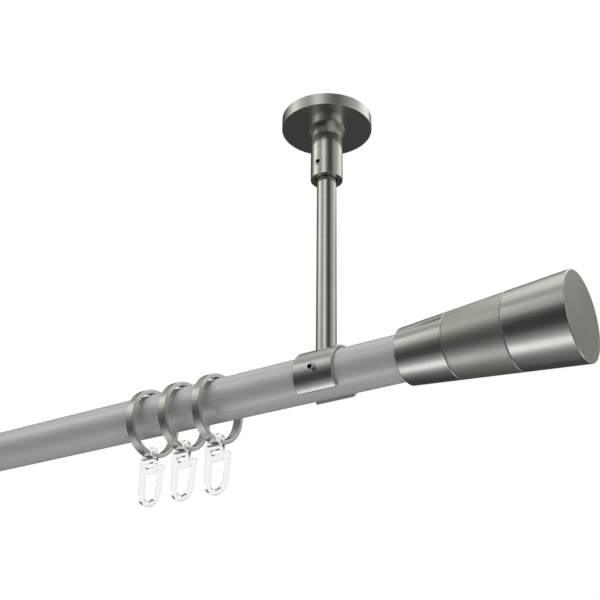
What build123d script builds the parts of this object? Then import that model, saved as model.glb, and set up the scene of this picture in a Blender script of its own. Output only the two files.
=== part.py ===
from build123d import *
import math
import os

# Curtain rod hung from the ceiling on two drop brackets, in millimetres.
# The origin is on the ceiling, midway between the brackets. +X runs along the rod to its
# right end, +Y away from the room and +Z up, so the whole rod hangs below Z = 0.

# Rod
rod_r = 10.0
rod_wall = 1.0
rod_length = 1000.0
rod_drop = 132.0
stem_from_rod_end = 65.0

# Plate screwed to the ceiling, hidden in the rosette
plate_r = 18.0
plate_t = 3.0
ceiling_screw_spacing = 24.0
ceiling_screw_hole_r = 2.25
ceiling_screw_head_r = 4.2
ceiling_screw_head_h = 2.0

# Rosette, a hollow turned disc that covers the plate
rosette_r = 21.45
rosette_h = 6.1
rosette_rim = 1.85
rosette_web = 1.6

# Sleeve under the rosette
sleeve_r = 7.5
sleeve_length = 28.3
sleeve_neck_r = 8.8
sleeve_neck_h = 5.4
sleeve_spigot_r = 6.4
sleeve_clear = 0.42
sleeve_grub_rise = 6.9

# Stem, a round bar tapped at both ends, between the plate and the saddle
stem_r = 4.55
stem_tap_spare = 2.0

# Saddle, a split collar round the rod
saddle_clear = 0.23
saddle_wall = 1.42
saddle_length = 19.3
saddle_gap_angle = 75.0
seat_gap = 0.02

# Countersunk screws of the stem
top_screw_r = 2.5
top_screw_head_r = 4.6
top_screw_length = 15.0
foot_screw_r = 1.5
foot_screw_head_r = 2.85
foot_screw_length = 10.0
screw_hole_clear = 0.1
thread_clear = 0.03
screw_head_sink = 0.06

# Grub screws, one in each sleeve and one in each saddle
grub_r = 2.0
grub_length = 3.0
grub_hex_flats = 2.0
grub_hex_depth = 1.6
grub_point = 0.5
grub_tip_gap = 0.05

# Finials, cones in three segments
finial_lip = 2.1
finial_end_r = 18.15
finial_base_length = 21.9
finial_middle_length = 25.7
finial_end_length = 26.0
finial_socket_depth = 25.4
finial_socket_clear = 0.06

# Core of a finial, a plug in the rod's end with a spigot that carries the segments
plug_length = 18.0
plug_clear = 0.3
spigot_r = 5.0
spigot_grip = 12.0
spigot_clear = 0.05
spigot_spare = 1.0

# Rings
ring_play = 4.4
ring_wall = 1.95
ring_width = 4.5
ring_hang_gap = 0.45
ring_count = 3
first_ring_from_stem = 58.95
ring_pitch = 19.65

# Hooks of clear plastic, flat mouldings that lie along the rod
hook_t = 2.6
eye_side_clear = 0.65
eye_top_clear = 0.6
eye_bottom_clear = 0.4
eye_wall = 2.0
eye_side_wall = 1.5
eye_outer_corner = 3.2
eye_inner_corner = 0.7
eye_mouth = 1.05
upper_bar_h = 2.55
bar_window_h = 2.2
lower_bar_h = 2.8
back_limb_w = 2.6
back_limb_step = 0.8
loop_drop = 9.2
loop_inner_r = 3.9
loop_floor = 2.3
front_limb_lean = 4.7
front_limb_taper = 3.1
front_limb_rise = 12.4
barb_out = 0.5
barb_h = 1.7

# Places that several pieces share
ring_bore_r = rod_r + ring_play
ring_r = ring_bore_r + ring_wall
ring_z = -rod_drop + rod_r + ring_hang_gap - ring_bore_r
saddle_bore_r = rod_r + saddle_clear
saddle_r = saddle_bore_r + saddle_wall
sleeve_bore_r = stem_r + sleeve_clear
sleeve_bottom = -rosette_h - sleeve_length
socket_r = rod_r + finial_socket_clear
stem_x = rod_length / 2 - stem_from_rod_end
foot_screw_head_z = saddle_bore_r + screw_head_sink - rod_drop


def turned(points):
    """Solid of revolution about Z from an outline of (radius, height) points."""
    return revolve(Plane.XZ * make_face(Polyline(*points, close=True)), Axis.Z)


def countersink(head_r, shank_r, top, bottom):
    """Countersunk hole that opens upwards at top and runs through to bottom."""
    sink = head_r - shank_r
    outline = [(0, top), (head_r, top), (shank_r, top - sink), (shank_r, bottom), (0, bottom)]
    return turned(outline)


def bored(solid, radius, start, end):
    """The solid with a round hole along Z from start to end."""
    return solid - Pos(0, 0, (start + end) / 2) * Cylinder(radius, end - start)


def mount_plate():
    plate = Pos(0, 0, -plate_t / 2) * Cylinder(plate_r, plate_t)
    centre_hole = countersink(
        top_screw_head_r + screw_hole_clear, top_screw_r + screw_hole_clear, 0, -plate_t
    )
    seat = turned([
        (0, -plate_t),
        (ceiling_screw_head_r, -plate_t),
        (ceiling_screw_hole_r, ceiling_screw_head_h - plate_t),
        (ceiling_screw_hole_r, 0),
        (0, 0),
    ])
    plate -= centre_hole
    for side in (-1, 1):
        plate -= Pos(0, side * ceiling_screw_spacing / 2, 0) * seat
    return plate


def countersunk_screw(head_r, shank_r, length):
    """Screw along -Z with the flat of its head at Z = 0."""
    head_h = head_r - shank_r
    return turned([(0, 0), (head_r, 0), (shank_r, -head_h), (shank_r, -length), (0, -length)])


def stem():
    """Bar from the plate down to the saddle, coped to sit on the saddle's round."""
    bar = Pos(0, 0, -(rod_drop + plate_t) / 2) * Cylinder(stem_r, rod_drop - plate_t)
    bar -= Pos(0, 0, -rod_drop) * (Rot(0, 90, 0) * Cylinder(saddle_r + seat_gap, saddle_length))
    bar = bored(bar, top_screw_r + thread_clear, -top_screw_length - stem_tap_spare, -plate_t)
    foot_tap_top = foot_screw_head_z + foot_screw_length + stem_tap_spare
    return bored(bar, foot_screw_r + thread_clear, -rod_drop, foot_tap_top)


def rosette():
    hole_r = sleeve_spigot_r + thread_clear
    cavity_r = rosette_r - rosette_rim
    web_top = rosette_web - rosette_h
    return turned([
        (cavity_r, 0),
        (rosette_r, 0),
        (rosette_r, -rosette_h),
        (hole_r, -rosette_h),
        (hole_r, web_top),
        (cavity_r, web_top),
    ])


def sleeve():
    """Sleeve with a flared neck, pressed into the rosette's web by its spigot."""
    spigot_top = rosette_web - rosette_h
    body = turned([
        (sleeve_neck_r, -rosette_h),
        (sleeve_r, -rosette_h - sleeve_neck_h),
        (sleeve_r, sleeve_bottom),
        (sleeve_bore_r, sleeve_bottom),
        (sleeve_bore_r, spigot_top),
        (sleeve_spigot_r, spigot_top),
        (sleeve_spigot_r, -rosette_h),
    ])
    screw_z = sleeve_bottom + sleeve_grub_rise
    hole = Pos(0, -sleeve_r, screw_z) * (Rot(90, 0, 0) * Cylinder(grub_r + thread_clear, 2 * sleeve_r))
    return body - hole


def grub_screw(tip_y, z):
    """Hexagon socket grub screw that points along +Y, with its tip at tip_y."""
    outline = [
        (0, 0),
        (grub_r - grub_point, 0),
        (grub_r, grub_point),
        (grub_r, grub_length),
        (0, grub_length),
    ]
    hexagon = RegularPolygon(grub_hex_flats / 2, 6, major_radius=False)
    socket = Pos(0, 0, grub_length - grub_hex_depth) * extrude(hexagon, grub_hex_depth)
    return Pos(0, tip_y, z) * (Rot(90, 0, 0) * (turned(outline) - socket))


def saddle():
    """Split collar, open below, with the stem's screw in its crown and a grub screw hole in front."""
    collar = Rot(0, 90, 0) * (Cylinder(saddle_r, saddle_length) - Cylinder(saddle_bore_r, saddle_length))
    gap_side = 2 * saddle_r * math.tan(math.radians(saddle_gap_angle / 2))
    gap = make_face(Polyline((0, 0), (-gap_side, -2 * saddle_r), (gap_side, -2 * saddle_r), close=True))
    collar -= extrude(Plane.YZ * gap, saddle_length, both=True)
    head_z = saddle_bore_r + screw_head_sink
    head_r = foot_screw_head_r + screw_hole_clear
    shank_r = foot_screw_r + screw_hole_clear
    collar -= turned([
        (0, 0),
        (head_r, 0),
        (head_r, head_z),
        (shank_r, head_z + head_r - shank_r),
        (shank_r, 2 * saddle_r),
        (0, 2 * saddle_r),
    ])
    grub_hole = Rot(90, 0, 0) * Cylinder(grub_r + thread_clear, saddle_r)
    collar -= Pos(0, -saddle_r, 0) * grub_hole
    return Pos(0, 0, -rod_drop) * collar


def bracket_pieces():
    """All pieces of one bracket, round a stem on the Z axis."""
    foot_screw = Rot(180, 0, 0) * countersunk_screw(foot_screw_head_r, foot_screw_r, foot_screw_length)
    top_screw = countersunk_screw(top_screw_head_r, top_screw_r, top_screw_length)
    return {
        "mount_plate": mount_plate(),
        "plate_screw": Pos(0, 0, -screw_head_sink) * top_screw,
        "stem": stem(),
        "saddle_screw": Pos(0, 0, foot_screw_head_z) * foot_screw,
        "saddle": saddle(),
        "saddle_grub": grub_screw(-rod_r - grub_tip_gap, -rod_drop),
        "rosette": rosette(),
        "sleeve": sleeve(),
        "sleeve_grub": grub_screw(-stem_r - grub_tip_gap, sleeve_bottom + sleeve_grub_rise),
    }


def rod_tube():
    pipe = Cylinder(rod_r, rod_length) - Cylinder(rod_r - rod_wall, rod_length)
    return Pos(0, 0, -rod_drop) * (Rot(0, 90, 0) * pipe)


def finial_radius(s):
    """Radius of the finial's cone at s, measured outwards from the rod's end."""
    total = finial_base_length + finial_middle_length + finial_end_length
    share = (s + finial_socket_depth) / total
    base_r = rod_r + finial_lip
    return base_r + (finial_end_r - base_r) * share


def cone_segment(start, end):
    """Solid cone segment between two places along the finial."""
    return turned([(0, start), (finial_radius(start), start), (finial_radius(end), end), (0, end)])


def finial_pieces():
    """All pieces of one finial along Z, with Z = 0 at the rod's end and +Z outwards."""
    base_start = -finial_socket_depth
    middle_start = base_start + finial_base_length
    end_start = middle_start + finial_middle_length
    end_stop = end_start + finial_end_length
    spigot_end = end_start + spigot_grip

    base = bored(cone_segment(base_start, middle_start), socket_r, base_start, middle_start)
    middle = bored(cone_segment(middle_start, end_start), socket_r, middle_start, 0)
    middle = bored(middle, spigot_r + spigot_clear, 0, end_start)
    end = cone_segment(end_start, end_stop)
    end = bored(end, spigot_r + spigot_clear, end_start, spigot_end + spigot_spare)

    plug_r = rod_r - rod_wall - plug_clear
    core = turned([
        (0, -plug_length), (plug_r, -plug_length), (plug_r, 0), (spigot_r, 0), (spigot_r, spigot_end), (0, spigot_end)
    ])
    return {"finial_base": base, "finial_middle": middle, "finial_end": end, "finial_core": core}


def ring():
    """Plain ring round the rod, hanging just clear of the rod's top line."""
    band = Cylinder(ring_r, ring_width) - Cylinder(ring_bore_r, ring_width)
    return Pos(0, 0, ring_z) * (Rot(0, 90, 0) * band)


def box_face(x0, x1, z0, z1):
    """Rectangle between two corners."""
    return Pos((x0 + x1) / 2, (z0 + z1) / 2) * Rectangle(x1 - x0, z1 - z0)


def hook_eye(head_top):
    """Clip that goes round the ring's lowest part, open at its back corner."""
    inner_half = ring_width / 2 + eye_side_clear
    outer_half = inner_half + eye_side_wall
    inner_top = ring_z - ring_bore_r + eye_top_clear
    outer_top = inner_top + eye_wall
    shell = box_face(-outer_half, outer_half, head_top, outer_top)
    shell = fillet(shell.vertices().group_by(Axis.Y)[-1], eye_outer_corner)
    hole = box_face(-inner_half, inner_half, head_top, inner_top)
    hole = fillet(hole.vertices(), eye_inner_corner)
    mouth = box_face(-outer_half, -inner_half + eye_inner_corner, head_top, head_top + eye_mouth)
    return shell - hole - mouth


def hook_loop(head_bottom, back_x):
    """Open loop that holds the curtain tape: back limb, round floor and leaning front limb."""
    floor_z = head_bottom - loop_drop
    outer_r = loop_inner_r + loop_floor
    outer_x = back_x + outer_r
    inner_x = back_x + back_limb_w + loop_inner_r
    lean = math.radians(front_limb_lean)
    inner_lean = math.radians(front_limb_lean + front_limb_taper)
    outer_arc = CenterArc((outer_x, floor_z), outer_r, 180, 180 - front_limb_lean)
    inner_arc = CenterArc((inner_x, floor_z), loop_inner_r, 180, 180 - front_limb_lean - front_limb_taper)
    outer_low = outer_arc @ 1
    inner_low = inner_arc @ 1
    tip_z = floor_z + front_limb_rise
    outer_high = (outer_low.X + (tip_z - barb_h - outer_low.Y) * math.tan(lean), tip_z - barb_h)
    inner_high = (inner_low.X + (tip_z - inner_low.Y) * math.tan(inner_lean), tip_z)
    barb = (outer_high[0] + barb_out, tip_z - barb_h / 2)
    limb_top = Polyline(outer_arc @ 1, outer_high, barb, (outer_high[0], tip_z), inner_high, inner_arc @ 1)
    back = Polyline(
        inner_arc @ 0, (back_x + back_limb_w, head_bottom), (back_x, head_bottom), outer_arc @ 0
    )
    return make_face(outer_arc + limb_top + inner_arc + back)


def hook():
    """One hook in the ring's frame, with its back limb towards -X."""
    head_right = ring_width / 2 + eye_side_clear + eye_side_wall
    back_x = -head_right - back_limb_step
    head_top = ring_z - ring_r - eye_bottom_clear
    window_top = head_top - upper_bar_h
    window_bottom = window_top - bar_window_h
    head_bottom = window_bottom - lower_bar_h
    head = box_face(back_x, head_right, head_bottom, head_top)
    head -= box_face(back_x + back_limb_w, head_right - eye_side_wall, window_bottom, window_top)
    outline = head + hook_eye(head_top) + hook_loop(head_bottom, back_x)
    return extrude(Plane.XZ * outline, hook_t / 2, both=True)


def all_pieces():
    """Every piece of the rod under its name, in place."""
    pieces = {"rod_tube": rod_tube()}
    bracket = bracket_pieces()
    finial = finial_pieces()
    for side_name, side, turn in (("right", 1, 0), ("left", -1, 180)):
        for name, piece in bracket.items():
            pieces[f"{side_name}_{name}"] = Pos(side * stem_x, 0, 0) * piece
        rod_end = Pos(side * rod_length / 2, 0, -rod_drop) * Rot(0, side * 90, 0)
        for name, piece in finial.items():
            pieces[f"{side_name}_{name}"] = rod_end * piece
        for index in range(ring_count):
            ring_x = side * (stem_x - first_ring_from_stem - index * ring_pitch)
            pieces[f"{side_name}_ring_{index + 1}"] = Pos(ring_x, 0, 0) * ring()
            pieces[f"{side_name}_hook_{index + 1}"] = Pos(ring_x, 0, 0) * (Rot(0, 0, turn) * hook())
    return pieces


os.makedirs("parts", exist_ok=True)
for name, piece in all_pieces().items():
    export_step(piece, f"parts/{name}.step")
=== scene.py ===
from math import cos, degrees, pi, radians, sin, tan

import bmesh
import bpy
from mathutils import Matrix, Vector


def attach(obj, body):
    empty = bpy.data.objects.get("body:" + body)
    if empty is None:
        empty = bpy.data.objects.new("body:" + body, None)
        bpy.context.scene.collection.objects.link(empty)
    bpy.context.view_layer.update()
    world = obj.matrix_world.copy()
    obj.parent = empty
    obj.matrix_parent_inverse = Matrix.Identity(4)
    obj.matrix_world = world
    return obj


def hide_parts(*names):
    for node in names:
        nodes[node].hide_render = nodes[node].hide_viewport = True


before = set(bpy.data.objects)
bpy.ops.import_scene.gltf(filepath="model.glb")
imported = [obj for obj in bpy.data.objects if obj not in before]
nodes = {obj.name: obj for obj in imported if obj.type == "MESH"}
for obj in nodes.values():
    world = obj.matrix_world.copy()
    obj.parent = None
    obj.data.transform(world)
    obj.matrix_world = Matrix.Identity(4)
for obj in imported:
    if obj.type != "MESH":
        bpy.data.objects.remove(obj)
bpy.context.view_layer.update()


# Camera
# The view of the photograph: from inside the room, right of the right bracket and below the
# rod, looking up along it.
lens = bpy.data.cameras.new("photo_camera")
lens.sensor_width = 36.0
lens.lens = 61.4045
lens.clip_start = 0.01
camera = bpy.data.objects.new("photo_camera", lens)
bpy.context.scene.collection.objects.link(camera)
camera.matrix_world = (
    Matrix.Translation((0.658265, -0.341723, -0.291272))
    @ Matrix.Rotation(radians(34.799), 4, "Z")
    @ Matrix.Rotation(radians(90.0 + 25.535), 4, "X")
    @ Matrix.Rotation(radians(0.824), 4, "Z")
)
bpy.context.scene.camera = camera
bpy.context.scene.view_settings.view_transform = "Standard"


# White room
# The plain white surroundings and the pale floor under the rod. The floor fades to white
# towards its rim and keeps the object's soft shadow.
def new_material(name):
    """Material with only its output node, and its node tree."""
    material = bpy.data.materials.new(name)
    material.use_nodes = True
    tree = material.node_tree
    tree.nodes.clear()
    return material, tree, tree.nodes.new("ShaderNodeOutputMaterial")


def calculate(tree, operation, *values):
    """Math node fed by numbers and sockets."""
    node = tree.nodes.new("ShaderNodeMath")
    node.operation = operation
    for socket, value in zip(node.inputs, values):
        if isinstance(value, (int, float)):
            socket.default_value = value
        else:
            tree.links.new(value, socket)
    return node.outputs["Value"]


def vector_math(tree, operation, first, second=None):
    """Outputs of a Vector Math node fed by a socket and, where it takes two, a plain vector."""
    node = tree.nodes.new("ShaderNodeVectorMath")
    node.operation = operation
    tree.links.new(first, node.inputs[0])
    if second is not None:
        node.inputs[1].default_value = second
    return node.outputs


def grey(value):
    """Grey colour of a brightness."""
    return (value, value, value, 1.0)


def grey_ramp(tree, factor, stops):
    """Grey ramp through (place, brightness) stops."""
    node = tree.nodes.new("ShaderNodeValToRGB")
    elements = node.color_ramp.elements
    while len(elements) < len(stops):
        elements.new(1.0)
    for element, (place, value) in zip(elements, stops):
        element.position = place
        element.color = grey(value)
    tree.links.new(factor, node.inputs["Fac"])
    return node.outputs["Color"]


def mix_colours(tree, factor, first, second):
    """Mix of two colours, plain ones or sockets. A factor of 1 gives the second."""
    node = tree.nodes.new("ShaderNodeMix")
    node.data_type = "RGBA"
    tree.links.new(factor, node.inputs["Factor"])
    for socket, value in ((node.inputs[6], first), (node.inputs[7], second)):
        if isinstance(value, tuple):
            socket.default_value = value
        else:
            tree.links.new(value, socket)
    return node.outputs[2]


def finished_mesh(name, shape):
    """Mesh with the faces of a bmesh, which is freed."""
    mesh = bpy.data.meshes.new(name)
    shape.to_mesh(mesh)
    shape.free()
    return mesh


def place_object(name, content, matrix=Matrix.Identity(4)):
    """Object in the scene that holds a mesh, a drawing or a lamp."""
    thing = bpy.data.objects.new(name, content)
    bpy.context.scene.collection.objects.link(thing)
    thing.matrix_world = matrix
    return thing


white_room = bpy.data.worlds.new("white_room")
white_room.use_nodes = True
white_room.node_tree.nodes["Background"].inputs["Color"].default_value = grey(1.0)
bpy.context.scene.world = white_room

floor_r = 2.1
floor_middle = (0.3, 0.0, -0.62)
pale_floor, tree, output = new_material("pale_floor")
floor_cloth = tree.nodes.new("ShaderNodeBsdfPrincipled")
floor_cloth.inputs["Base Color"].default_value = (0.86, 0.86, 0.855, 1.0)
floor_cloth.inputs["Roughness"].default_value = 0.9
floor_white = tree.nodes.new("ShaderNodeEmission")
floor_white.inputs["Color"].default_value = grey(1.0)
floor_rays = tree.nodes.new("ShaderNodeLightPath").outputs
floor_place = tree.nodes.new("ShaderNodeTexCoord").outputs["Object"]
from_middle = calculate(tree, "DIVIDE", vector_math(tree, "LENGTH", floor_place)["Value"], floor_r)
whiteness = grey_ramp(tree, from_middle, [(0.0, 0.55), (0.45, 0.65), (0.95, 1.0)])
seen = calculate(tree, "MAXIMUM", floor_rays["Is Camera Ray"], floor_rays["Is Transmission Ray"])
seen = calculate(tree, "MAXIMUM", seen, floor_rays["Is Glossy Ray"])
floor_mix = tree.nodes.new("ShaderNodeMixShader")
tree.links.new(calculate(tree, "MULTIPLY", seen, whiteness), floor_mix.inputs["Fac"])
tree.links.new(floor_cloth.outputs["BSDF"], floor_mix.inputs[1])
tree.links.new(floor_white.outputs["Emission"], floor_mix.inputs[2])
tree.links.new(floor_mix.outputs["Shader"], output.inputs["Surface"])

floor_shape = bmesh.new()
bmesh.ops.create_circle(floor_shape, cap_ends=True, segments=96, radius=floor_r)
floor_mesh = finished_mesh("pale_floor", floor_shape)
floor_mesh.materials.append(pale_floor)
floor = place_object("pale_floor", floor_mesh, Matrix.Translation(floor_middle))
floor.visible_glossy = False


# Light tent
# A round tent of lit and unlit cloth panels about the rod, which the camera looks through.
# Bearings are degrees to the right of the camera's side, levels are degrees above the rod.
camera_side = Vector((0.5707, -0.8212, 0.0))
right_side = Vector((0.8212, 0.5707, 0.0))
tent_r = 2.5
tent_middle = (0.435, 0.0, -0.1)
tent_cloth, tree, output = new_material("tent_cloth")
tent_cloth.cycles.emission_sampling = "NONE"
tent_place = tree.nodes.new("ShaderNodeTexCoord").outputs["Object"]
outwards = vector_math(tree, "NORMALIZE", tent_place)["Vector"]


def towards(bearing, level):
    """Direction at a bearing and a level."""
    flat = camera_side * cos(radians(bearing)) + right_side * sin(radians(bearing))
    return flat * cos(radians(level)) + Vector((0.0, 0.0, sin(radians(level))))


def along(direction):
    """How far the panel lies in a direction, from -1 to 1."""
    return vector_math(tree, "DOT_PRODUCT", outwards, direction)["Value"]


def by_bearing(stops):
    """Grey ramp through (bearing, brightness) stops, all the way round the tent."""
    turn = calculate(tree, "ARCTAN2", along(right_side), along(camera_side))
    share = calculate(tree, "MULTIPLY_ADD", turn, 0.5 / pi, 0.5)
    return grey_ramp(tree, share, [(bearing / 360.0 + 0.5, value) for bearing, value in stops])


def by_level(stops):
    """Grey ramp through (level, brightness) stops, from the tent's foot to its top."""
    share = calculate(tree, "MULTIPLY_ADD", along((0.0, 0.0, 1.0)), 0.5, 0.5)
    heights = [(0.5 + 0.5 * sin(radians(level)), value) for level, value in stops]
    return grey_ramp(tree, share, heights)


def lit_cloth(bearing, level, stops):
    """Round lit panel, with (degrees from its middle, brightness) stops."""
    angle = calculate(tree, "ARCCOSINE", along(towards(bearing, level)))
    share = calculate(tree, "DIVIDE", angle, pi)
    return grey_ramp(tree, share, [(away / 180.0, value) for away, value in stops])


upper_panels = by_bearing([
    (-180, 0.05), (-130, 0.05), (-110, 0.1), (-75, 0.15), (-62, 0.22), (-52, 0.24), (-44, 0.3),
    (-33, 0.7), (-24, 0.78), (-14, 0.6), (-4, 0.26), (8, 0.1), (22, 0.05), (34, 0.08), (46, 0.24),
    (60, 0.34), (80, 0.45), (92, 0.7), (102, 0.75), (114, 0.25), (150, 0.2), (180, 0.05),
])
lower_panels = by_bearing([
    (-180, 0.05), (-120, 0.12), (-67, 0.06), (-50, 0.03), (-12, 0.04), (8, 0.2), (25, 0.36),
    (45, 0.3), (62, 0.2), (95, 0.3), (120, 0.35), (145, 0.12), (165, 0.05), (180, 0.05),
])
ceiling_cloth = by_level([(45, 0.34), (56, 0.4), (62, 0.6), (70, 0.76), (90, 0.85)])
floor_card = lit_cloth(-98, -58, [
    (0, 1.0), (6, 0.98), (12, 0.62), (18, 0.38), (26, 0.22), (38, 0.1), (60, 0.04),
])
far_card = lit_cloth(115, -52, [(0, 1.0), (10, 0.85), (20, 0.35), (35, 0.1), (50, 0.0)])
side_card = lit_cloth(-90, 34, [
    (0, 1.0), (6, 0.88), (11, 0.6), (18, 0.38), (25, 0.2), (32, 0.1), (46, 0.0),
])
corner_card = lit_cloth(121, 46, [(0, 1.0), (9, 0.9), (17, 0.15), (24, 0.0)])
lit = mix_colours(tree, floor_card, grey(0.0), (0.985, 1.0, 1.03, 1.0))
lit = mix_colours(tree, far_card, lit, grey(0.9))
lit = mix_colours(tree, by_level([(-34, 0.0), (-18, 1.0)]), lit, lower_panels)
lit = mix_colours(tree, by_level([(10, 0.0), (21, 1.0)]), lit, upper_panels)
lit = mix_colours(tree, side_card, lit, grey(1.1))
lit = mix_colours(tree, by_level([(40, 0.0), (50, 1.0)]), lit, ceiling_cloth)
lit = mix_colours(tree, corner_card, lit, grey(1.4))
tent_rays = tree.nodes.new("ShaderNodeLightPath").outputs
lit = mix_colours(tree, tent_rays["Is Diffuse Ray"], lit, grey(0.54))
tent_glow = tree.nodes.new("ShaderNodeEmission")
tree.links.new(lit, tent_glow.inputs["Color"])
tree.links.new(tent_glow.outputs["Emission"], output.inputs["Surface"])

tent_shape = bmesh.new()
bmesh.ops.create_icosphere(tent_shape, subdivisions=4, radius=tent_r)
tent_mesh = finished_mesh("light_tent", tent_shape)
tent_mesh.materials.append(tent_cloth)
tent = place_object("light_tent", tent_mesh, Matrix.Translation(tent_middle))
tent.visible_camera = False
tent.visible_transmission = False


# Softboxes
# Two square softboxes inside the tent, one over the room side and a weaker one opposite,
# which light the rod's satin coat and the floor.
softbox_side = 0.9
softbox_aim = Vector((0.3, 0.0, -0.13))
for name, bearing, level, distance, power in (
    ("room_softbox", -40.0, 75.0, 1.6, 40.0),
    ("wall_softbox", 120.0, 40.0, 1.8, 2.0),
):
    lamp = bpy.data.lights.new(name, "AREA")
    lamp.size = softbox_side
    lamp.energy = power
    softbox = place_object(name, lamp)
    softbox.location = softbox_aim + towards(bearing, level) * distance
    softbox.rotation_euler = towards(bearing, level).to_track_quat("Z", "Y").to_euler()
    softbox.visible_glossy = False


# Mounting plates
# Steel discs 3 mm thick, turned and countersunk, each held to the ceiling by two screws.
# The rosettes hide them.
def machined_lines():
    """Group for the fine lines that turning, drawing and brushing leave in metal.

    Place is in metres, with the piece's axis along Z. Turned is 1 for lines round that axis
    and 0 for lines along it.
    """
    group = bpy.data.node_groups.new("machined_lines", "ShaderNodeTree")
    for name, way, kind in (
        ("Place", "INPUT", "NodeSocketVector"),
        ("Turned", "INPUT", "NodeSocketFloat"),
        ("Lines per metre", "INPUT", "NodeSocketFloat"),
        ("Drift per metre", "INPUT", "NodeSocketFloat"),
        ("Light", "INPUT", "NodeSocketColor"),
        ("Dark", "INPUT", "NodeSocketColor"),
        ("Smoothest", "INPUT", "NodeSocketFloat"),
        ("Roughest", "INPUT", "NodeSocketFloat"),
        ("Color", "OUTPUT", "NodeSocketColor"),
        ("Roughness", "OUTPUT", "NodeSocketFloat"),
        ("Height", "OUTPUT", "NodeSocketFloat"),
    ):
        group.interface.new_socket(name, in_out=way, socket_type=kind)
    given = group.nodes.new("NodeGroupInput").outputs
    result = group.nodes.new("NodeGroupOutput").inputs
    split = group.nodes.new("ShaderNodeSeparateXYZ")
    group.links.new(given["Place"], split.inputs["Vector"])
    x, y, z = split.outputs
    many, few, turning = given["Lines per metre"], given["Drift per metre"], given["Turned"]
    difference = calculate(group, "SUBTRACT", few, many)
    opposite = calculate(group, "MULTIPLY", difference, -1.0)
    across = calculate(group, "MULTIPLY_ADD", difference, turning, many)
    lengthways = calculate(group, "MULTIPLY_ADD", opposite, turning, few)
    stretched = group.nodes.new("ShaderNodeCombineXYZ")
    group.links.new(calculate(group, "MULTIPLY", x, across), stretched.inputs["X"])
    group.links.new(calculate(group, "MULTIPLY", y, across), stretched.inputs["Y"])
    group.links.new(calculate(group, "MULTIPLY", z, lengthways), stretched.inputs["Z"])
    x_squared = calculate(group, "MULTIPLY", x, x)
    y_squared = calculate(group, "MULTIPLY", y, y)
    reach = calculate(group, "SQRT", calculate(group, "ADD", x_squared, y_squared))
    rounds = calculate(group, "MULTIPLY", reach, many)
    lines = group.nodes.new("ShaderNodeTexNoise")
    lines.noise_dimensions = "4D"
    lines.inputs["Scale"].default_value = 1.0
    lines.inputs["Detail"].default_value = 2.0
    lines.inputs["Roughness"].default_value = 0.65
    group.links.new(stretched.outputs["Vector"], lines.inputs["Vector"])
    group.links.new(calculate(group, "MULTIPLY", rounds, turning), lines.inputs["W"])
    clouds = group.nodes.new("ShaderNodeTexNoise")
    clouds.inputs["Scale"].default_value = 90.0
    clouds.inputs["Detail"].default_value = 3.0
    group.links.new(given["Place"], clouds.inputs["Vector"])
    cloudy = calculate(group, "MULTIPLY", clouds.outputs["Fac"], 0.3)
    tone = calculate(group, "MULTIPLY_ADD", lines.outputs["Fac"], 0.7, cloudy)
    evened = group.nodes.new("ShaderNodeMapRange")
    evened.inputs["From Min"].default_value = 0.3
    evened.inputs["From Max"].default_value = 0.7
    group.links.new(tone, evened.inputs["Value"])
    colour = mix_colours(group, evened.outputs["Result"], given["Dark"], given["Light"])
    gloss = group.nodes.new("ShaderNodeMapRange")
    group.links.new(evened.outputs["Result"], gloss.inputs["Value"])
    group.links.new(given["Roughest"], gloss.inputs["To Min"])
    group.links.new(given["Smoothest"], gloss.inputs["To Max"])
    group.links.new(colour, result["Color"])
    group.links.new(gloss.outputs["Result"], result["Roughness"])
    group.links.new(lines.outputs["Fac"], result["Height"])
    return group


metal_lines = machined_lines()


def machined_metal(name, light, dark, smoothest, roughest, turned=1.0, lines=2500.0, drift=40.0,
                   depth=0.00001, anisotropy=0.0, metallic=1.0, cad_centre=None, cad_axis="Z"):
    """Machined metal for a piece whose own axis is Z, or for CAD nodes round cad_centre.

    Light and dark are the colours of the smoothest and the roughest lines, drift is how fast
    the lines change along their own way, and depth is theirs in metres.
    """
    material, tree, output = new_material(name)
    place = tree.nodes.new("ShaderNodeTexCoord").outputs["Object"]
    if cad_centre is not None:
        both_sides = vector_math(tree, "ABSOLUTE", place)["Vector"]
        place = vector_math(tree, "SUBTRACT", both_sides, cad_centre)["Vector"]
    if cad_axis == "X":
        swing = tree.nodes.new("ShaderNodeVectorRotate")
        swing.rotation_type = "Y_AXIS"
        swing.inputs["Angle"].default_value = pi / 2.0
        tree.links.new(place, swing.inputs["Vector"])
        place = swing.outputs["Vector"]
    finish = tree.nodes.new("ShaderNodeGroup")
    finish.node_tree = metal_lines
    finish.inputs["Turned"].default_value = turned
    finish.inputs["Lines per metre"].default_value = lines
    finish.inputs["Drift per metre"].default_value = drift
    finish.inputs["Light"].default_value = (*light, 1.0)
    finish.inputs["Dark"].default_value = (*dark, 1.0)
    finish.inputs["Smoothest"].default_value = smoothest
    finish.inputs["Roughest"].default_value = roughest
    tree.links.new(place, finish.inputs["Place"])
    bump = tree.nodes.new("ShaderNodeBump")
    bump.inputs["Distance"].default_value = depth
    tree.links.new(finish.outputs["Height"], bump.inputs["Height"])
    surface = tree.nodes.new("ShaderNodeBsdfPrincipled")
    surface.inputs["Metallic"].default_value = metallic
    tree.links.new(finish.outputs["Color"], surface.inputs["Base Color"])
    tree.links.new(finish.outputs["Roughness"], surface.inputs["Roughness"])
    tree.links.new(bump.outputs["Normal"], surface.inputs["Normal"])
    if anisotropy:
        surface.inputs["Anisotropic"].default_value = anisotropy
        surface.inputs["Anisotropic Rotation"].default_value = 0.25
        grooves = tree.nodes.new("ShaderNodeTangent")
        grooves.direction_type = "RADIAL"
        grooves.axis = "Z"
        tree.links.new(grooves.outputs["Tangent"], surface.inputs["Tangent"])
    tree.links.new(surface.outputs["BSDF"], output.inputs["Surface"])
    return material


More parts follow.
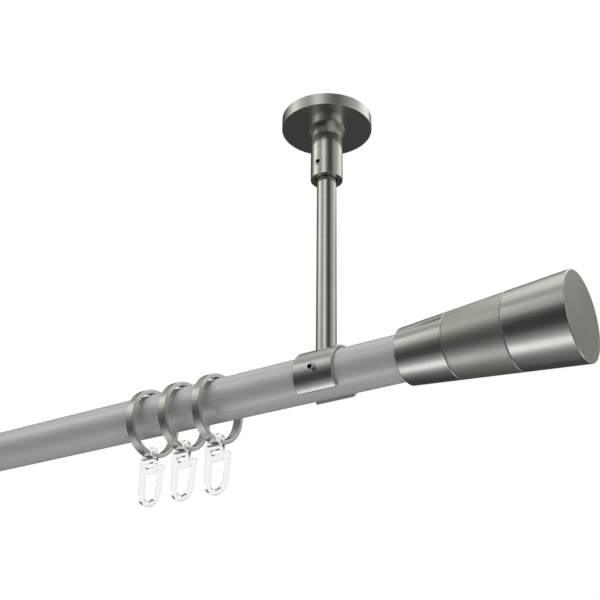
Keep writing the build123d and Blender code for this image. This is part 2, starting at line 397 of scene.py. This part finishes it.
def second_finish(mesh, material, chosen):
    """Gives the faces that a test picks out a material of their own."""
    mesh.materials.append(material)
    for face in mesh.polygons:
        if chosen(face):
            face.material_index = len(mesh.materials) - 1


def finish_node(material, *names):
    """Gives CAD nodes a material in place of the one that they came with."""
    for name in names:
        nodes[name].data.materials.clear()
        nodes[name].data.materials.append(material)


bracket_x = 0.435
both_ends = (("right", 1.0), ("left", -1.0))
steel_light, steel_dark = (0.56, 0.56, 0.56), (0.44, 0.44, 0.44)
plate_steel = machined_metal("plate_steel", steel_light, steel_dark, 0.28, 0.42, lines=1800.0,
                             cad_centre=(bracket_x, 0.0, 0.0))
finish_node(plate_steel, "right_mount_plate", "left_mount_plate")


# Screws of the plates
# Countersunk M5 screws, zinc plated. Each goes through the middle of a mounting plate into the
# tapped top of the stem.
bright_zinc = machined_metal("bright_zinc", (0.80, 0.84, 0.88), (0.60, 0.65, 0.70), 0.12, 0.24,
                             lines=3500.0, cad_centre=(bracket_x, 0.0, 0.0))
finish_node(bright_zinc, "right_plate_screw", "left_plate_screw")


# Stems
# Round bars, nickel plated and brushed round their axis. Each is tapped at both ends, hangs
# from its mounting plate and carries a saddle.
stem_nickel = machined_metal("stem_nickel", (0.87, 0.885, 0.796), (0.69, 0.70, 0.63), 0.10, 0.16,
                             lines=1900.0, drift=60.0, cad_centre=(bracket_x, 0.0, 0.0))
finish_node(stem_nickel, "right_stem", "left_stem")


# Screws of the saddles
# Countersunk M3 screws, zinc plated like those of the plates. Each goes from inside a saddle
# into the tapped foot of the stem.
finish_node(bright_zinc, "right_saddle_screw", "left_saddle_screw")


# Saddles
# Strip bent to a collar that is open below, deburred along all its edges and nickel plated.
# A threaded hole in front takes the screw that pinches the rod.
mm = 0.001


def soften(corners, radius, steps=4, closed=True):
    """Outline of (point, normal) pairs with its corners rounded. The inside is on the left."""
    count = len(corners)
    softened = []
    for index, corner in enumerate(corners):
        here = Vector(corner)
        if not closed and index in (0, count - 1):
            other = Vector(corners[1 if index == 0 else count - 2])
            ahead = (other - here if index == 0 else here - other).normalized()
            softened.append((here, Vector((ahead.y, -ahead.x))))
            continue
        before = (here - Vector(corners[index - 1])).normalized()
        after = (Vector(corners[(index + 1) % count]) - here).normalized()
        turn = before.angle_signed(after) * -1.0
        if abs(turn) < radians(1.0):
            softened.append((here, Vector((before.y, -before.x))))
            continue
        reach = radius * tan(abs(turn) / 2.0)
        side = 1.0 if turn > 0.0 else -1.0
        first = Vector((before.y, -before.x))
        middle = here - before * reach - first * radius * side
        for step in range(steps + 1):
            normal = first.copy()
            normal.rotate(Matrix.Rotation(turn * step / steps, 2))
            softened.append((middle + normal * radius * side, normal))
    return softened


def skin(name, rows, closed_rows=True, closed_columns=True):
    """Mesh over rows of (place, normal) pairs in millimetres, and the normals of its points.

    A row of one pair is a point on the axis. Columns that aren't closed end in flat caps.
    """
    starts, pairs, faces = [], [], []
    for row in rows:
        starts.append(len(pairs))
        pairs.extend(row)
    for index in range(len(rows) if closed_rows else len(rows) - 1):
        following = (index + 1) % len(rows)
        low, high = starts[index], starts[following]
        width = max(len(rows[index]), len(rows[following]))
        for column in range(width if closed_columns else width - 1):
            after = (column + 1) % width
            if len(rows[index]) == 1:
                faces.append((low, high + after, high + column))
            elif len(rows[following]) == 1:
                faces.append((low + column, low + after, high))
            else:
                faces.append((low + column, low + after, high + after, high + column))
    if not closed_columns:
        last = len(rows[0]) - 1
        faces.append(list(starts))
        faces.append([start + last for start in reversed(starts)])
    mesh = bpy.data.meshes.new(name)
    mesh.from_pydata([place * mm for place, normal in pairs], [], faces)
    mesh.shade_smooth()
    return mesh, [normal for place, normal in pairs]


def evaluated_mesh(thing):
    """New mesh of an object as its drawing or its modifiers make it."""
    bpy.context.view_layer.update()
    graph = bpy.context.evaluated_depsgraph_get()
    return bpy.data.meshes.new_from_object(thing.evaluated_get(graph))


def drill(thing, normals, radius, start, end):
    """Round hole through a piece from start to end, in its own millimetres, cleanly shaded."""
    start, end = start * mm, end * mm
    direction = (end - start).normalized()
    shading = thing.data.attributes.new("shading", "FLOAT_VECTOR", "CORNER")
    for loop in thing.data.loops:
        shading.data[loop.index].vector = normals[loop.vertex_index]
    bit = bmesh.new()
    turn = direction.to_track_quat("Z", "Y").to_matrix().to_4x4()
    bmesh.ops.create_cone(
        bit, cap_ends=True, segments=40, radius1=radius * mm, radius2=radius * mm,
        depth=(end - start).length, matrix=Matrix.Translation((start + end) / 2.0) @ turn,
    )
    cutter = place_object("drill_bit", finished_mesh("drill_bit", bit), thing.matrix_world)
    hole = thing.modifiers.new("hole", "BOOLEAN")
    hole.operation = "DIFFERENCE"
    hole.solver = "EXACT"
    hole.object = cutter
    drilled = evaluated_mesh(thing)
    thing.modifiers.clear()
    thing.data = drilled
    bpy.data.objects.remove(cutter)
    corner_normals = [Vector(corner.vector) for corner in drilled.attributes["shading"].data]
    for loop, normal in zip(drilled.loops, corner_normals):
        if normal.length < 0.5:
            inwards = start - drilled.vertices[loop.vertex_index].co
            normal[:] = inwards - direction * inwards.dot(direction)
        normal.normalize()
    drilled.attributes.remove(drilled.attributes["shading"])
    drilled.shade_smooth()
    drilled.normals_split_custom_set(corner_normals)


rod_z = -0.132
along_rod = Matrix.Rotation(pi / 2.0, 4, "Y")
thread_hole_r = 2.03
saddle_bore, saddle_out, saddle_half, saddle_edge = 10.23, 11.65, 9.65, 0.22
half_opening, bend_steps, lip_steps = 37.5, 96, 4
bend_sweep = 360.0 - 2.0 * half_opening
saddle_outline = soften([(saddle_bore, -saddle_half), (saddle_out, -saddle_half),
                         (saddle_out, saddle_half), (saddle_bore, saddle_half)], saddle_edge)
saddle_stations = []
for step in range(lip_steps):
    lean = radians(90.0 * (1.0 - step / lip_steps))
    past_lip = degrees(saddle_edge * (1.0 - sin(lean)) / saddle_out)
    saddle_stations.append((half_opening + past_lip, 1.0 - cos(lean), lean))
for step in range(1, bend_steps):
    saddle_stations.append((half_opening + bend_sweep * step / bend_steps, 0.0, 0.0))
for turn, inset, lean in reversed(saddle_stations[:lip_steps]):
    saddle_stations.append((360.0 - turn, inset, -lean))
saddle_rows = []
for corner, outwards_flat in saddle_outline:
    row = []
    for turn, inset, lean in saddle_stations:
        drawn = corner - outwards_flat * saddle_edge * inset
        spoke = Vector((cos(radians(turn)), sin(radians(turn)), 0.0))
        forwards = Vector((-spoke.y, spoke.x, 0.0))
        flat = spoke * outwards_flat.x + Vector((0.0, 0.0, outwards_flat.y))
        place = spoke * drawn.x + Vector((0.0, 0.0, drawn.y))
        row.append((place, flat * cos(lean) - forwards * sin(lean)))
    saddle_rows.append(row)


def inside_saddle(face):
    """Whether a face is on the saddle's bore or on the end of a lip, the faces that get painted
    shade.
    """
    reach = face.center.xy.length
    lip_end = reach * cos(radians(half_opening + 0.9))
    return reach < (saddle_bore + 0.1) * mm or face.center.x > lip_end


nickel_light, nickel_dark = (0.82, 0.834, 0.75), (0.74, 0.752, 0.677)
saddle_nickel = machined_metal("saddle_nickel", nickel_light, nickel_dark, 0.12, 0.20,
                               anisotropy=0.5)
# Painted shade: the bore and the lip ends get a darker, rougher nickel, darkened for the shade
# under and behind the rod.
saddle_inside_shade = machined_metal("saddle_inside_shade", (0.50, 0.508, 0.457), (0.38, 0.386, 0.347),
                               0.30, 0.42, lines=1600.0)
for side, sign in both_ends:
    saddle_mesh, saddle_normals = skin(f"{side}_saddle_collar", saddle_rows, closed_columns=False)
    saddle_mesh.materials.append(saddle_nickel)
    second_finish(saddle_mesh, saddle_inside_shade, inside_saddle)
    saddle_place = Matrix.Translation((sign * bracket_x, 0.0, rod_z)) @ along_rod
    saddle = place_object(f"{side}_saddle_collar", saddle_mesh, saddle_place)
    drill(saddle, saddle_normals, thread_hole_r, Vector((0.0, -14.0, 0.0)),
          Vector((0.0, -8.0, 0.0)))
    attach(saddle, "hanger_frame")
    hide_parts(f"{side}_saddle")


# Rod
# A drawn steel tube 20 mm across with a 1 mm wall, under a thin grey satin lacquer. The two
# saddles hold it.
def turned(name, outline, segments=96, closed=True):
    """Turned mesh about Z from an outline of (point, normal) pairs, with its exact normals."""
    rows = []
    for (reach, height), (sideways, upwards) in outline:
        row = []
        for step in range(1 if reach < 1e-6 else segments):
            angle = 2.0 * pi * step / segments
            spoke = Vector((cos(angle), sin(angle), 0.0))
            place = spoke * reach + Vector((0.0, 0.0, height))
            row.append((place, spoke * sideways + Vector((0.0, 0.0, upwards))))
        rows.append(row)
    mesh, normals = skin(name, rows, closed_rows=closed)
    mesh.normals_split_custom_set_from_vertices(normals)
    return mesh, normals


rod_r, rod_bore, rod_half, rod_edge = 10.0, 9.0, 500.0, 0.2
rod_lacquer = machined_metal("rod_lacquer", (0.42, 0.42, 0.412), (0.378, 0.378, 0.371), 0.20, 0.26,
                             turned=0.0, lines=1500.0, drift=12.0, depth=0.000004, metallic=0.3)
rod_outline = soften([(rod_bore, -rod_half), (rod_r, -rod_half), (rod_r, rod_half),
                      (rod_bore, rod_half)], rod_edge)
rod_mesh, _ = turned("rod", rod_outline)
rod_mesh.materials.append(rod_lacquer)
rod = place_object("satin_rod", rod_mesh, Matrix.Translation((0.0, 0.0, rod_z)) @ along_rod)
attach(rod, "hanger_frame")
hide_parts("rod_tube")


# Grub screws of the saddles
# M4 by 3 mm with a 2 mm hexagon socket, turned and zinc plated. Each sits in a saddle's
# threaded hole and pinches the rod.
def grub_screw(name):
    """Grub screw along Z with its tip at the origin."""
    tip_r, body_r, shoulder_r, face_r, length = 1.5, 2.0, 1.93, 1.78, 3.0
    key_half, key_depth, sides = 1.0, 1.6, 24
    levels = [
        (tip_r, 0.0, False), (body_r, 0.5, False), (body_r, length - 0.15, False),
        (shoulder_r, length - 0.04, False), (face_r, length, False),
        (key_half + 0.14, length, True), (key_half, length - 0.12, True),
        (key_half, length - key_depth, True),
    ]
    points, faces = [], []
    for reach, height, hexagonal in levels:
        for step in range(sides):
            turn = 360.0 * step / sides
            distance = reach / cos(radians(turn % 60.0 - 30.0)) if hexagonal else reach
            angle = radians(turn)
            points.append(Vector((distance * cos(angle), distance * sin(angle), height)) * mm)
    for level in range(len(levels) - 1):
        low, high = sides * level, sides * (level + 1)
        for step in range(sides):
            after = (step + 1) % sides
            faces.append((low + step, low + after, high + after, high + step))
    faces.append(list(reversed(range(sides))))
    faces.append(list(range(sides * (len(levels) - 1), sides * len(levels))))
    mesh = bpy.data.meshes.new(name)
    mesh.from_pydata(points, [], faces)
    mesh.shade_smooth()
    mesh.set_sharp_from_angle(angle=radians(32.0))
    return mesh


def in_socket(face):
    """Whether a face is on the wall or the floor of the screw's socket, which is painted near
    black as shade in the deep hole.
    """
    return 1.3 * mm < face.center.z < 2.89 * mm and face.center.xy.length < 1.2 * mm


facing_room = Matrix.Rotation(pi / 2.0, 4, "X")
rod_grub_tip = -0.01005
grub_zinc = machined_metal("grub_zinc", (0.86, 0.91, 0.96), (0.74, 0.80, 0.87), 0.14, 0.26,
                           lines=5000.0, depth=0.000004)
# Painted shade: the socket's wall and floor are near black, standing for the shade deep in the
# hexagon hole.
socket_painted_shade = machined_metal("socket_painted_shade", (0.07, 0.07, 0.09), (0.03, 0.03, 0.04), 0.35, 0.5,
                              turned=0.0, lines=4000.0)
grub_mesh = grub_screw("grub_screw")
grub_mesh.materials.append(grub_zinc)
second_finish(grub_mesh, socket_painted_shade, in_socket)
for side, sign in both_ends:
    grub_place = Matrix.Translation((sign * bracket_x, rod_grub_tip, rod_z)) @ facing_room
    grub = place_object(f"{side}_rod_grub_screw", grub_mesh, grub_place)
    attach(grub, f"{side}_rod_screw")
    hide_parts(f"{side}_saddle_grub")


# Rosettes
# Hollow turned discs against the ceiling, nickel plated, with fine turning lines on rim and
# face. Each hides a mounting plate.
rosette_hole, rosette_r, rosette_inner_r = 6.43, 21.45, 19.6
rosette_h, rosette_roof, rosette_edge = 6.1, 4.5, 0.18
rosette_outline = soften([
    (rosette_hole, -rosette_h), (rosette_r, -rosette_h), (rosette_r, 0.0),
    (rosette_inner_r, 0.0), (rosette_inner_r, -rosette_roof), (rosette_hole, -rosette_roof),
], rosette_edge)
rosette_nickel = machined_metal("rosette_nickel", (0.88, 0.895, 0.805), (0.68, 0.69, 0.622),
                                0.22, 0.30, lines=2000.0, anisotropy=0.3)
rosette_face = machined_metal("rosette_face", (0.60, 0.611, 0.549), (0.55, 0.56, 0.503),
                              0.22, 0.28, lines=6000.0, depth=0.000004)
rosette_mesh, _ = turned("rosette", rosette_outline, 128)
rosette_mesh.materials.append(rosette_nickel)
second_finish(rosette_mesh, rosette_face,
              lambda face: face.normal.z < -0.95 and face.center.z < -(rosette_h - 0.1) * mm)
for side, sign in both_ends:
    rosette_place = Matrix.Translation((sign * bracket_x, 0.0, 0.0))
    rosette = place_object(f"{side}_rosette_disc", rosette_mesh, rosette_place)
    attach(rosette, f"{side}_cover")
    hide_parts(f"{side}_rosette")


# Sleeves
# Turned sleeves with a flared neck, pressed into the rosettes from below. A cross hole near
# the foot takes the grub screw that grips the stem.
sleeve_bore, sleeve_r, sleeve_foot, sleeve_edge = 4.97, 7.5, -34.4, 0.2
collar_r, collar_top, neck_top = 6.4, -4.5, -6.1
cross_hole_z = -27.5
sleeve_outline = soften([
    (sleeve_bore, sleeve_foot), (sleeve_r, sleeve_foot), (sleeve_r, -11.5), (8.7, -6.5),
    (9.1, neck_top), (collar_r, neck_top), (collar_r, collar_top), (sleeve_bore, collar_top),
], sleeve_edge)
sleeve_nickel = machined_metal("sleeve_nickel", (0.86, 0.875, 0.787), (0.68, 0.69, 0.62),
                               0.10, 0.17, lines=1900.0, drift=60.0, anisotropy=0.5)
for side, sign in both_ends:
    sleeve_mesh, sleeve_normals = turned(f"{side}_sleeve_tube", sleeve_outline)
    sleeve_mesh.materials.append(sleeve_nickel)
    sleeve_place = Matrix.Translation((sign * bracket_x, 0.0, 0.0))
    sleeve = place_object(f"{side}_sleeve_tube", sleeve_mesh, sleeve_place)
    drill(sleeve, sleeve_normals, thread_hole_r, Vector((0.0, -9.0, cross_hole_z)),
          Vector((0.0, -4.0, cross_hole_z)))
    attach(sleeve, f"{side}_cover")
    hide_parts(f"{side}_sleeve")


# Grub screws of the sleeves
# The same zinc plated screws again, nearly flush. They grip the stems and hold the covers up
# against the ceiling.
cover_grub_tip = -0.0046
for side, sign in both_ends:
    grub_place = Matrix.Translation((sign * bracket_x, cover_grub_tip, cross_hole_z * mm))
    grub = place_object(f"{side}_cover_grub_screw", grub_mesh, grub_place @ facing_room)
    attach(grub, f"{side}_cover_screw")
    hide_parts(f"{side}_sleeve_grub")


# Rings
# Turned rings with softened edges, nickel plated. They hang over the rod and slide along it,
# three at each end.
ring_bore, ring_out, ring_half, ring_edge = 14.4, 16.35, 2.25, 0.4
ring_z, first_ring, ring_pitch = -0.13595, 0.37605, 0.01965
ring_places = [(side, number, sign * (first_ring - ring_pitch * (number - 1)))
               for side, sign in both_ends for number in (1, 2, 3)]
ring_outline = soften([(ring_bore, -ring_half), (ring_out, -ring_half), (ring_out, ring_half),
                       (ring_bore, ring_half)], ring_edge)
ring_nickel = machined_metal("ring_nickel", (0.86, 0.875, 0.79), (0.76, 0.773, 0.697), 0.24, 0.32,
                             lines=3500.0, anisotropy=0.3)
ring_mesh, _ = turned("ring", ring_outline)
ring_mesh.materials.append(ring_nickel)
for side, number, across in ring_places:
    ring_place = Matrix.Translation((across, 0.0, ring_z)) @ along_rod
    ring = place_object(f"{side}_turned_ring_{number}", ring_mesh, ring_place)
    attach(ring, f"{side}_ring_{number}")
    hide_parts(f"{side}_ring_{number}")


# Hooks
# Clear mouldings 2.6 mm thick with rounded edges. An eye clips round the ring, a ladder head
# stiffens it, and the open loop below takes the curtain tape.
def bend(middle, radius, start, end, steps):
    """Points along an arc, from one angle to another in degrees."""
    angles = [radians(start + (end - start) * step / steps) for step in range(steps + 1)]
    return [(middle[0] + radius * cos(angle), middle[1] + radius * sin(angle)) for angle in angles]


def clear_material(name, hazy, clear, rim, ior):
    """Clear plastic with faint haze and flow marks, darker towards its outline as painted shade
    where the surface turns from view.
    """
    material, tree, output = new_material(name)
    haze = tree.nodes.new("ShaderNodeTexNoise")
    haze.inputs["Scale"].default_value = 350.0
    haze.inputs["Detail"].default_value = 2.0
    place = tree.nodes.new("ShaderNodeTexCoord").outputs["Object"]
    tree.links.new(place, haze.inputs["Vector"])
    haze_gloss = tree.nodes.new("ShaderNodeMapRange")
    haze_gloss.inputs["To Min"].default_value = 0.02
    haze_gloss.inputs["To Max"].default_value = 0.08
    tree.links.new(haze.outputs["Fac"], haze_gloss.inputs["Value"])
    flow_marks = tree.nodes.new("ShaderNodeBump")
    flow_marks.inputs["Distance"].default_value = 0.00001
    tree.links.new(haze.outputs["Fac"], flow_marks.inputs["Height"])
    tilt = tree.nodes.new("ShaderNodeLayerWeight")
    tilt.inputs["Blend"].default_value = 0.4
    body = mix_colours(tree, haze.outputs["Fac"], grey(hazy), grey(clear))
    # Painted shade: the colour darkens towards the outline, where the surface turns from view, in
    # place of the grey edges that refraction gives.
    outline_shaded = mix_colours(tree, tilt.outputs["Facing"], body, (*rim, 1.0))
    surface = tree.nodes.new("ShaderNodeBsdfPrincipled")
    tree.links.new(outline_shaded, surface.inputs["Base Color"])
    tree.links.new(haze_gloss.outputs["Result"], surface.inputs["Roughness"])
    tree.links.new(flow_marks.outputs["Normal"], surface.inputs["Normal"])
    surface.inputs["IOR"].default_value = ior
    surface.inputs["Transmission Weight"].default_value = 1.0
    surface.inputs["Coat Weight"].default_value = 1.0
    surface.inputs["Coat IOR"].default_value = 1.5
    surface.inputs["Coat Roughness"].default_value = 0.03
    tree.links.new(surface.outputs["BSDF"], output.inputs["Surface"])
    return material


def painted_reflection_edge(face):
    """Whether a face is on one of the three edges with a painted dark reflection: short near-black
    lines for the unlit room seen in the plastic.
    """
    across, height = face.center.xy / mm
    head_top = face.normal.y > 0.3 and -153.4 < height < -152.2 and across < 1.2
    loop_floor = face.normal.y > 0.7 and height < -171.8 and 0.6 < across < 3.6
    loop_foot = face.normal.y < -0.3 and height < -172.2 and -4.6 < across < -3.1
    return head_top or loop_floor or loop_foot


hook_t, hook_edge = 2.6, 0.58
weld_distance = 0.000002
# Outline from the head's top left corner: inside of the eye, its open end, its outside, the
# head's right side and foot, inside of the loop, the barbed tip, outside of the loop.
hook_outline = (
    [(-5.2, -152.7)]
    + bend((2.2, -152.0), 0.7, 270, 360, 4)
    + bend((2.2, -150.45), 0.7, 0, 90, 4)
    + bend((-2.2, -150.45), 0.7, 90, 180, 4)
    + [(-2.9, -151.65), (-4.4, -151.65)]
    + bend((-1.2, -150.95), 3.2, 180, 90, 10)
    + bend((1.2, -150.95), 3.2, 90, 0, 10)
    + [(4.4, -160.25), (-2.6, -160.25)]
    + bend((1.3, -169.45), 3.9, 180, 352.2, 22)
    + [(6.935, -157.05), (8.1, -157.05), (8.6, -157.9), (8.1, -158.75)]
    + bend((1.0, -169.45), 6.2, 355.3, 180, 26)
)
hook_window = [(-2.6, -155.25), (2.9, -155.25), (2.9, -157.45), (-2.6, -157.45)]
hook_drawing = bpy.data.curves.new("hook_drawing", "CURVE")
hook_drawing.dimensions = "2D"
hook_drawing.fill_mode = "BOTH"
for outline in (hook_outline, hook_window):
    line = hook_drawing.splines.new("POLY")
    line.points.add(len(outline) - 1)
    line.use_cyclic_u = True
    for point, (across, height) in zip(line.points, outline):
        point.co = (across * mm, height * mm, 0.0, 1.0)
hook_drawing.bevel_depth = hook_edge * mm
hook_drawing.bevel_resolution = 4
hook_drawing.offset = -hook_edge * mm
hook_drawing.extrude = (hook_t / 2.0 - hook_edge) * mm
drawn_hook = place_object("hook_drawing", hook_drawing)
hook_mesh = evaluated_mesh(drawn_hook)
bpy.data.objects.remove(drawn_hook)
hook_shape = bmesh.new()
hook_shape.from_mesh(hook_mesh)
bmesh.ops.remove_doubles(hook_shape, verts=hook_shape.verts, dist=weld_distance)
bmesh.ops.recalc_face_normals(hook_shape, faces=hook_shape.faces)
hook_shape.to_mesh(hook_mesh)
hook_shape.free()
hook_mesh.shade_smooth()
for face in hook_mesh.polygons:
    face.use_smooth = abs(face.normal.z) < 0.999

clear_plastic = clear_material("clear_plastic", 0.955, 0.985, (0.70, 0.70, 0.715), 1.15)
# Painted dark reflection: three short edges of each hook get a near-black clear plastic in place
# of the unlit room that the moulding would reflect.
painted_dark_reflection = clear_material("painted_dark_reflection", 0.02, 0.04, (0.02, 0.02, 0.025), 1.02)
hook_mesh.materials.clear()
hook_mesh.materials.append(clear_plastic)
second_finish(hook_mesh, painted_dark_reflection, painted_reflection_edge)
for side, number, across in ring_places:
    half_turn = Matrix.Rotation(0.0 if side == "right" else pi, 4, "Z")
    hook_place = Matrix.Translation((across, 0.0, 0.0)) @ half_turn @ facing_room
    hook = place_object(f"{side}_clear_hook_{number}", hook_mesh, hook_place)
    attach(hook, f"{side}_hook_{number}")
    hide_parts(f"{side}_hook_{number}")


# Finials
# Cones of three turned segments on a core. The first and last are brushed nickel, the middle
# one is duller, and the end face is turned flat.
finial_start, first_seam, second_seam, finial_stop = -25.4, -3.5, 22.2, 48.2
cone_start_r, cone_stop_r = 12.1, 18.15
rod_hole_r, spigot_hole_r, spigot_stop = 10.06, 5.05, 35.2
seam_edge, rim_edge = 0.4, 0.5


def cone_r(place):
    """Radius of the cone at a place along it, from the rod's end outwards."""
    share = (place - finial_start) / (finial_stop - finial_start)
    return cone_start_r + (cone_stop_r - cone_start_r) * share


base_outline = soften([
    (rod_hole_r, finial_start), (cone_r(finial_start), finial_start),
    (cone_r(first_seam), first_seam), (rod_hole_r, first_seam),
], seam_edge)
middle_outline = soften([
    (rod_hole_r, first_seam), (cone_r(first_seam), first_seam),
    (cone_r(second_seam), second_seam), (spigot_hole_r, second_seam),
    (spigot_hole_r, 0.0), (rod_hole_r, 0.0),
], seam_edge)
end_outline = soften([
    (0.0, spigot_stop), (spigot_hole_r, spigot_stop), (spigot_hole_r, second_seam),
    (cone_r(second_seam), second_seam), (cone_r(finial_stop), finial_stop), (0.0, finial_stop),
], rim_edge, closed=False)
finial_nickel = machined_metal("finial_nickel", nickel_light, nickel_dark, 0.11, 0.19,
                               lines=6500.0, depth=0.000005, anisotropy=0.6)
dull_nickel = machined_metal("dull_nickel", (0.745, 0.753, 0.668), (0.675, 0.682, 0.605),
                             0.34, 0.42, lines=6500.0, depth=0.000005, anisotropy=0.3)
end_nickel = machined_metal("end_nickel", (0.74, 0.75, 0.648), (0.665, 0.675, 0.583),
                            0.16, 0.24, lines=6500.0, depth=0.000003, anisotropy=0.6)
for segment, outline, metal, slot in (
    ("base", base_outline, finial_nickel, "brushed_nickel"),
    ("middle", middle_outline, dull_nickel, "dull_nickel"),
    ("end", end_outline, finial_nickel, "brushed_nickel"),
):
    segment_mesh, _ = turned(f"finial_{segment}", outline, 128, closed=segment != "end")
    segment_mesh.materials.append(metal)
    if segment == "end":
        second_finish(segment_mesh, end_nickel,
                      lambda face: face.center.z > (finial_stop - 0.01) * mm)
    for side, sign in both_ends:
        pointing_out = Matrix.Rotation(sign * pi / 2.0, 4, "Y")
        piece_place = Matrix.Translation((sign * rod_half * mm, 0.0, rod_z)) @ pointing_out
        piece = place_object(f"{side}_finial_cone_{segment}", segment_mesh, piece_place)
        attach(piece, f"{side}_finial")
        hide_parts(f"{side}_finial_{segment}")


# Cores of the finials
# Steel plugs, each turned in one piece with a spigot. The plugs sit in the rod's ends and the
# spigots carry the segments.
core_steel = machined_metal("core_steel", steel_light, steel_dark, 0.28, 0.42, lines=1800.0,
                            cad_centre=(rod_half * mm, 0.0, -rod_z), cad_axis="X")
finish_node(core_steel, "right_finial_core", "left_finial_core")
